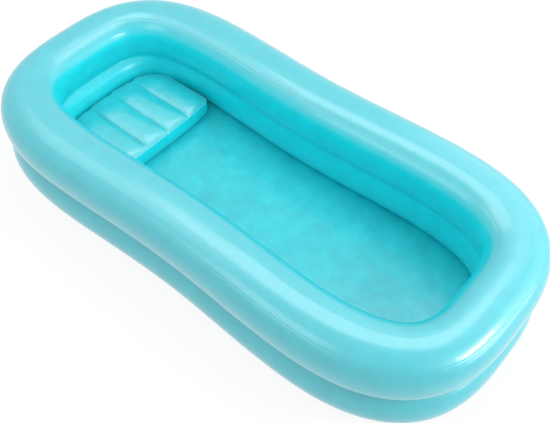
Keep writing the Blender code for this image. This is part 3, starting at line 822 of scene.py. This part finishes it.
def pillowTopGrid(p):
    y, front, back = pillowOutline(p)
    low, high = pillowLevels(p)
    along = np.linspace(0, 1, p['rows'] + 1)[None, :]
    length = (front - back)[:, None]
    x = front[:, None] - length * along
    across = (y / p['halfWidth'])[:, None]
    dome = (1 - across ** 4) * (1 - (2 * along - 1) ** 4)
    # in which channel y lies and how far across it, as one number from 0 to 4
    edges = channelEdges(p)
    place = np.interp(y, edges, np.arange(len(edges)))
    width = 2 * p['halfWidth'] / (len(p['lines']) + 1)
    fromMiddle = np.abs(place % 1.0 - 0.5)[:, None] * 2
    ribShape = np.sqrt(np.maximum(0, 1 - fromMiddle ** 2))
    fromFront, fromBack = along * length, (1 - along) * length
    fade = (np.sin(np.pi / 2 * np.clip(fromFront / p['frontRise'], 0, 1)) ** 0.8
            * np.sin(np.pi / 2 * np.clip(fromBack / p['backRise'], 0, 1)) ** 0.9)
    lift = p['crown'] * dome + p['rib'] * fade * ribShape * (1 - across ** 8)
    yGrid = np.broadcast_to(y[:, None], x.shape)
    # tension wrinkles run off the channel welds and the rim
    edgeLength = np.minimum(fromFront, fromBack)
    fromLine = (1 - fromMiddle) * width / 2
    channel = np.broadcast_to(np.floor(place)[:, None], x.shape)
    wave = noiseField(np.stack([x, channel * 0.37, 0 * x], axis=-1), p['wrinklePitch'], 2.0)
    slack = np.exp(-fromLine / p['wrinkleReach']) * np.clip(edgeLength / 0.02, 0, 1)
    rim = noiseField(np.stack([x, yGrid, 0 * x], axis=-1), 0.020, 6.0) * np.exp(-edgeLength / 0.015)
    rim = rim * np.clip(edgeLength / 0.004, 0, 1)
    lift = lift + p['wrinkle'] * (wave * slack * np.clip(fromLine / 0.004, 0, 1) + 0.8 * rim)
    return np.stack([x, yGrid, high + lift], axis=-1)


# Blender's names; the film is cut a share larger than the space between its welds, which is shrink_min
blownCloth = {
    'vertex_group_mass': 'welds', 'quality': 8, 'mass': 0.3, 'tension_stiffness': 40,
    'compression_stiffness': 40, 'shear_stiffness': 20, 'bending_stiffness': 15.0, 'use_pressure': True,
    'uniform_pressure_force': 4.0, 'shrink_min': -0.003,
}


def inflate(grid, p):
    # blows up the film between its welds with Blender's cloth, the welds held still
    columns, rows = grid.shape[:2]
    sheet = linkMesh('pillowBlank', grid, gridFaces(columns, rows), pillowPaintedLightMaterial)
    held = np.zeros((columns, rows), bool)
    held[[0, -1]] = True
    held[:, [0, -1]] = True
    step = p['columns'] // (len(p['lines']) + 1)
    for number, margin in enumerate(p['lineMargins'], 1):
        column = step * number
        fromFront = grid[column, 0, 0] - grid[column, :, 0]
        fromBack = grid[column, :, 0] - grid[column, -1, 0]
        held[column] |= (fromFront > margin) & (fromBack > p['backMargin'])
    group = sheet.vertex_groups.new(name='welds')
    group.add(np.flatnonzero(held.ravel()).tolist(), 1.0, 'REPLACE')
    air = sheet.modifiers.new('air', 'CLOTH')
    for key, value in blownCloth.items():
        setattr(air.settings, key, value)
    air.settings.effector_weights.gravity = 0
    air.collision_settings.use_collision = False
    air.point_cache.frame_start = 1
    air.point_cache.frame_end = p['frames']
    for frameNumber in range(1, p['frames'] + 1):
        bpy.context.scene.frame_set(frameNumber)
    graph = bpy.context.evaluated_depsgraph_get()
    mesh = sheet.evaluated_get(graph).to_mesh()
    blown = np.array([v.co for v in mesh.vertices]).reshape(grid.shape)
    move = blown - grid
    size = np.linalg.norm(move, axis=-1, keepdims=True)
    move = move * p['moveLimit'] / np.hypot(size, p['moveLimit'])       # a soft cap
    free = np.where(held, 0.0, 0.5)[..., None]
    for _ in range(p['calm']):
        mean = sum(np.roll(move, by, axis) for axis in (0, 1) for by in (1, -1)) / 4
        move = move + (mean - move) * free
    print('pillow inflated, largest move %.1f mm' % (size.max() * 1000))
    bpy.data.objects.remove(sheet)
    bpy.context.scene.frame_set(1)
    return grid + move


def rimLoop(grid):
    # the outline's points in order: front, far side, back, near side
    return np.concatenate([grid[:-1, 0], grid[-1, :-1], grid[:0:-1, -1], grid[0, :0:-1]])


def makePillow(p):
    # one closed skin: ribbed top, rounded side band and flat base
    grid = pillowTopGrid(p)
    grid = inflate(grid, p)
    grid = flattenAt(grid, [pillowPort])
    low, high = pillowLevels(p)
    columns, rows = grid.shape[:2]
    rimIndex = rimLoop(np.arange(columns * rows).reshape(columns, rows)).tolist()
    verts = grid.reshape(-1, 3).tolist()
    loop = np.array([verts[index] for index in rimIndex])
    ahead = np.roll(loop, -1, axis=0) - np.roll(loop, 1, axis=0)
    outward = np.stack([ahead[:, 1], -ahead[:, 0]], axis=-1)
    outward = outward / np.maximum(np.linalg.norm(outward, axis=-1, keepdims=True), 1e-9)
    for _ in range(6):
        outward = (np.roll(outward, 1, axis=0) + outward * 2 + np.roll(outward, -1, axis=0)) / 4
    faces = gridFaces(columns, rows, flipped=True)
    topFaces = len(faces)
    previous = rimIndex
    count = len(rimIndex)
    pleat = np.array([noise.noise((x / p['bandPleatSize'], y / p['bandPleatSize'], 3.0))
                      for x, y, z in loop.tolist()])
    for step in range(1, p['bandSteps'] + 1):
        share = step / p['bandSteps']
        arch = math.sin(math.pi * share) if step < p['bandSteps'] else 0.0
        bulge = p['sideBulge'] * arch + p['bandPleat'] * pleat * arch ** 0.5 - p['tuck'] * share ** 10
        ring = np.concatenate([loop[:, :2] + outward * bulge[:, None],
                               (loop[:, 2:] * (1 - share) + low * share)], axis=1)
        now = list(range(len(verts), len(verts) + count))
        verts += ring.tolist()
        for k in range(count):
            m = (k + 1) % count
            faces.append((previous[k], previous[m], now[m], now[k]))
        previous = now
    bandEnd = len(faces)
    # the base is the same grid laid flat, on new points within the band's last ring
    base = grid.reshape(-1, 3).copy()
    base[:, 2] = low
    baseIndex = -np.ones(columns * rows, int)
    baseIndex[rimIndex] = previous
    inside = baseIndex < 0
    baseIndex[inside] = len(verts) + np.arange(inside.sum())
    verts += base[inside].tolist()
    baseIndex = baseIndex.tolist()
    faces += [tuple(baseIndex[corner] for corner in face) for face in gridFaces(columns, rows)]
    piece = linkMesh('pillowSkin', verts, faces, pillowPaintedLightMaterial, 55.0)
    mesh = bmesh.new()
    mesh.from_mesh(piece.data)
    bmesh.ops.recalc_face_normals(mesh, faces=mesh.faces)
    mesh.to_mesh(piece.data)
    mesh.free()
    # painted light: the side band's faces take the copy with the floor's light painted into its colour
    piece.data.materials.append(bandPaintedLightMaterial)
    for face in piece.data.polygons[topFaces:bandEnd]:
        face.material_index = 1
    return piece, loop, outward, low


def weldBead(name, loop, outward, height, radius, out, material):
    # the trimmed weld edge, a thin rounded lip that follows the pillow's outline
    curve = bpy.data.curves.new(name, 'CURVE')
    curve.dimensions = '3D'
    curve.bevel_depth = radius
    curve.bevel_resolution = 3
    spline = curve.splines.new('POLY')
    spline.points.add(len(loop) - 1)
    for point, (x, y, z), (nx, ny) in zip(spline.points, loop.tolist(), outward.tolist()):
        point.co = (x + nx * out, y + ny * out, z if height is None else height, 1.0)
        point.radius = 1.0 if nx > pillow['lipFront'] else pillow['lipTrim']
    spline.use_cyclic_u = True
    curve.materials.append(material)
    return newObject(name, curve)


pillowSkin, pillowLoop, pillowOut, pillowLow = makePillow(pillow)
cutHole(pillowSkin, pillowPort, pillow['valveRoom'])
# painted light: the top weld's lip takes the paler colour with the light through its thin edge painted in
pillowTopWeld = weldBead('pillowTopWeld', pillowLoop, pillowOut, None, pillow['weldRadius'], 0.0008,
                         weldPaintedGlowMaterial)
baseWeldRadius = pillow['weldRadius'] / 2
pillowBaseWeld = weldBead('pillowBaseWeld', pillowLoop, pillowOut, pillowLow + baseWeldRadius,
                          baseWeldRadius, 0.0004 - pillow['tuck'], pillowPaintedLightMaterial)
print('pillow made')


# Valves and drain

def turnedMesh(profile, segments=96):
    mesh = bmesh.new()
    rings = []
    for radius, height in profile:
        if radius == 0:
            rings.append([mesh.verts.new((0.0, 0.0, height))])
        else:
            rings.append([mesh.verts.new((radius * math.cos(2 * math.pi * i / segments),
                                          radius * math.sin(2 * math.pi * i / segments), height))
                          for i in range(segments)])
    closed = profile[0][0] > 0
    for k in range(len(rings) if closed else len(rings) - 1):
        a, b = rings[k], rings[(k + 1) % len(rings)]
        for i in range(segments):
            j = (i + 1) % segments
            corners = [a[i % len(a)], a[j % len(a)], b[j % len(b)], b[i % len(b)]]
            mesh.faces.new(list(dict.fromkeys(corners)))
    bmesh.ops.recalc_face_normals(mesh, faces=mesh.faces)
    return mesh


def strapMesh(start, end, halfWidth, low, high):
    # a flat bar that runs out along X
    mesh = bmesh.new()
    bmesh.ops.create_cube(mesh, size=1.0)
    for vertex in mesh.verts:
        x, y, z = vertex.co
        vertex.co = ((start + end) / 2 + x * (end - start), 2 * halfWidth * y,
                     (low + high) / 2 + z * (high - low))
    return mesh


def rodMesh(x, z, radius, length):
    mesh = bmesh.new()
    bmesh.ops.create_cone(mesh, cap_ends=True, segments=32, radius1=radius, radius2=radius, depth=length,
                          matrix=Matrix.Translation((x, 0, z)) @ Matrix.Rotation(math.pi / 2, 4, 'X'))
    return mesh


def finishMoulding(piece, place, material, edge):
    bevel = piece.modifiers.new('edges', 'BEVEL')
    bevel.width = edge
    bevel.segments = 3
    bevel.limit_method = 'ANGLE'
    bevel.angle_limit = math.radians(35)
    applyAll(piece)
    piece.data.transform(place)
    piece.data.shade_smooth()
    piece.data.set_sharp_from_angle(angle=math.radians(38))
    piece.data.materials.clear()
    piece.data.materials.append(material)


def makeSeat(name, p):
    bore, skirt, stem, flange, rise = (p[key] for key in ('bore', 'skirt', 'stem', 'flange', 'rise'))
    top, under, bottom = p['proud'], -p['depth'], -p['drop']
    ring = stem + (flange - stem) * 0.62        # a shallow weld ring pressed into the flange
    dip = top - 0.0003
    profile = [(bore, bottom), (skirt, bottom), (skirt, under), (flange, under), (flange, top - 0.0004),
               (flange - 0.0006, top), (ring + 0.0011, top), (ring + 0.0006, dip), (ring - 0.0006, dip),
               (ring - 0.0011, top), (stem + 0.0010, top), (stem + 0.0002, top + 0.0006),
               (stem, top + 0.0016), (stem, rise - 0.0004), (stem - 0.0004, rise), (bore + 0.0004, rise),
               (bore, rise - 0.0004)]
    if rise < 0.004:        # a low stem has no room for the foot's second step
        profile.remove((stem, top + 0.0016))
    seat = meshObject(name, turnedMesh(profile))
    high = rise - 0.0010
    outer = p['pivot'] - p['knuckle'] - p['gap']
    combine(seat, strapMesh((bore + stem) / 2, outer, p['strap'] / 2, high - 0.0014, high))
    finishMoulding(seat, p['place'], mouldedMaterial, 0.00018)
    return seat


def makeCap(name, p):
    low = p['rise'] + p['gap']
    tip = low - p['plugDepth']
    high = low + p['lidHeight']
    lid = p['lid']
    profile = [(0, tip), (p['tip'] - 0.0005, tip), (p['tip'], tip + 0.0005), (p['plug'], low),
               (lid - 0.0004, low), (lid, low + 0.0004), (lid, high - 0.0005), (lid - 0.0005, high),
               (lid * 0.80, high), (lid * 0.74, high - 0.0005), (lid * 0.30, high - 0.0005),
               (0, high - 0.0004)]
    cap = meshObject(name, turnedMesh(profile))
    middle = low + p['lidHeight'] / 2
    half = p['strapHeight'] / 2
    combine(cap, strapMesh((p['plug'] + lid) / 2, p['pivot'], p['strap'] / 2, middle - half, middle + half))
    # a finger tab opposite the strap
    combine(cap, strapMesh(-lid - 0.0022, -lid * 0.7, p['strap'] * 0.42, middle - half, middle + half))
    combine(cap, rodMesh(p['pivot'], p['rise'], p['knuckle'], p['strap'] + 0.0008))
    finishMoulding(cap, p['place'], mouldedMaterial, 0.00018)
    return cap


flap = {'radius': 0.0054, 'height': 0.0008, 'pivot': 0.0070, 'knuckle': 0.0006, 'strap': 0.0040}


def makeFlap(name, p):
    high = -p['drop'] - p['gap']
    low = high - flap['height']
    r = flap['radius']
    piece = meshObject(name, turnedMesh([(0, low), (r - 0.0002, low), (r, low + 0.0002), (r, high - 0.0002),
                                         (r - 0.0002, high), (0, high)], 64))
    middle = (low + high) / 2
    quarter = flap['height'] / 4
    combine(piece, strapMesh(r / 2, flap['pivot'], flap['strap'] / 2, middle - quarter, middle + quarter))
    combine(piece, rodMesh(flap['pivot'], middle, flap['knuckle'], flap['strap'] + 0.0008))
    finishMoulding(piece, p['place'], flapMaterial, 0.00008)
    return piece


for port in ports:
    capNode = 'drain_plug' if port['name'] == 'drain' else port['name'] + '_cap'
    seat = makeSeat(port['name'] + 'Seat', port)
    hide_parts(port['name'] + '_seat')
    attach(seat, 'tub')
    cap = makeCap(port['name'] + 'Cap', port)
    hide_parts(capNode)
    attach(cap, port['bodyName'])
    if port['name'] != 'drain':
        disc = makeFlap(port['name'] + 'Flap', port)
        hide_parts(port['name'] + '_flap')
        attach(disc, port['bodyName'].replace('cap', 'flap'))
print('valves and drain made')


# Pillow webs, inside the pillow

def makePillowWeb(name, index):
    grid = pillowTopGrid(dict(pillow, wrinkle=0.0))
    line = grid[pillow['columns'] // (len(pillow['lines']) + 1) * index, 6:-4]
    low, high = pillowLevels(pillow)
    steps = np.linspace(0, 1, 9)
    foot = low + 0.0006
    verts = [(x, y, foot + (z - 0.0008 - foot) * share) for x, y, z in line.tolist() for share in steps]
    piece = linkMesh(name, verts, gridFaces(len(line), len(steps), flipped=True), innerPaintedLightMaterial)
    thicken(piece, tub['film'], 0.0)
    return piece


for index in (1, 2, 3):
    strip = makePillowWeb('pillowWeb%d' % index, index)
    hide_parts('pillow_web_%d' % index)
    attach(strip, 'tub')

sheets = (
    (outerWall, ['outer_wall_sheet'], 'pvc_film'),
    (innerWall, ['inner_wall_sheet'], 'pvc_film'),
    (topSheet, ['top_sheet'], 'pvc_film'),
    (baseFilm, ['base_sheet'], 'pvc_film'),
    (bathFloor, ['floor_sheet'], 'pvc_film'),
    (dividerWeb, ['divider_web'], 'pvc_web'),
    (pillowSkin, ['pillow_top_sheet', 'pillow_side_band', 'pillow_base_sheet'], 'pvc_film'),
)
for piece, nodes, slotName in sheets:
    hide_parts(*nodes)
    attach(piece, 'tub')
for piece in (pillowTopWeld, pillowBaseWeld):
    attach(piece, 'tub')
print('pieces ride on their bodies')


# Studio

studio = {
    'floorSize': 14.0,
    'floorHeight': -0.0006,     # clear of the film that lies on it
    'floorColour': '#F4F4F4',
    'floorWhite': 0.90,         # share of plain white that the camera sees under the shadow
    'whiteFrom': (0.9, 1.9),    # metres from the middle between which it turns plain white
    'worldStrength': 0.77,
    'aim': (0.0, 0.0, 0.1),
    # soft boxes: degrees round the tub as the camera's, degrees up, metres off, width and height, watts
    'softBoxes': {
        'keyBox': (103, 29, 2.8, 1.0, 0.46, 24),
        'lowKeyBox': (108, 8, 2.8, 1.6, 0.5, 8),
        'footBackBox': (134, 22, 2.8, 1.6, 1.6, 5),
        'highFootBox': (150, 54, 2.8, 1.6, 1.1, 3),
        'backBox': (172, 30, 2.8, 1.8, 2.2, 9),
        'highBackBox': (206, 69, 2.8, 2.3, 1.1, 21),
        'headBox': (278, 53, 2.8, 1.4, 1.3, 7),
        'nearBox': (347, 48, 2.8, 1.4, 1.2, 9.5),
    },
}


def seenWhite(tree):
    # 1 for the rays of the camera, of gloss and of clear film, which see plain white
    path = addNode(tree, 'ShaderNodeLightPath').outputs
    seen = addMath(tree, 'MAXIMUM', path['Is Camera Ray'], path['Is Glossy Ray'])
    return addMath(tree, 'MAXIMUM', seen, path['Is Transmission Ray'])


def mixToWhite(tree, share, plain, white, output):
    mix = addNode(tree, 'ShaderNodeMixShader', links={0: share, 1: plain.outputs[0], 2: white.outputs[0]})
    tree.links.new(mix.outputs[0], output.inputs['Surface'])


def addFloor(s):
    mesh = bpy.data.meshes.new('studioFloor')
    h = s['floorSize'] / 2
    mesh.from_pydata([(-h, -h, 0), (h, -h, 0), (h, h, 0), (-h, h, 0)], [], [(0, 1, 2, 3)])
    floor = newObject('studioFloor', mesh)
    floor.location.z = s['floorHeight']
    material, tree, output, place = newMaterial('paintedStudioFloor')
    diffuse = addNode(tree, 'ShaderNodeBsdfDiffuse', {'Color': toLinear(s['floorColour'])})
    white = addNode(tree, 'ShaderNodeEmission', {'Color': (1, 1, 1, 1), 'Strength': 1.0})
    # far from the tub the floor is plain white, so that it meets the background unseen
    away = addNode(tree, 'ShaderNodeVectorMath', {'operation': 'LENGTH'}, {0: place})
    fade = addRange(tree, away.outputs['Value'], s['floorWhite'], 1.0, *s['whiteFrom'], 'SMOOTHSTEP')
    mixToWhite(tree, addMath(tree, 'MULTIPLY', fade, seenWhite(tree)), diffuse, white, output)
    mesh.materials.append(material)


def addWorld(s):
    world = bpy.data.worlds.new('whiteStudio')
    world.use_nodes = True
    tree = world.node_tree
    tree.nodes.clear()
    output = addNode(tree, 'ShaderNodeOutputWorld')
    fill = addNode(tree, 'ShaderNodeBackground', {'Color': (1, 1, 1, 1), 'Strength': s['worldStrength']})
    white = addNode(tree, 'ShaderNodeBackground', {'Color': (1, 1, 1, 1), 'Strength': 1.0})
    mixToWhite(tree, seenWhite(tree), fill, white, output)
    bpy.context.scene.world = world


def addSoftbox(name, target, azimuth, elevation, distance, width, height, power):
    data = bpy.data.lights.new(name, 'AREA')
    data.shape = 'RECTANGLE'
    data.size, data.size_y = width, height
    data.energy = power
    away = direction(azimuth, elevation)
    light = newObject(name, data)
    light.location = Vector(target) + away * distance
    light.rotation_mode = 'QUATERNION'
    light.rotation_quaternion = away.to_track_quat('Z', 'Y')


addFloor(studio)
addWorld(studio)
for boxName, box in studio['softBoxes'].items():
    addSoftbox(boxName, studio['aim'], *box)
bpy.context.scene.view_settings.view_transform = 'Standard'
print('studio lit')
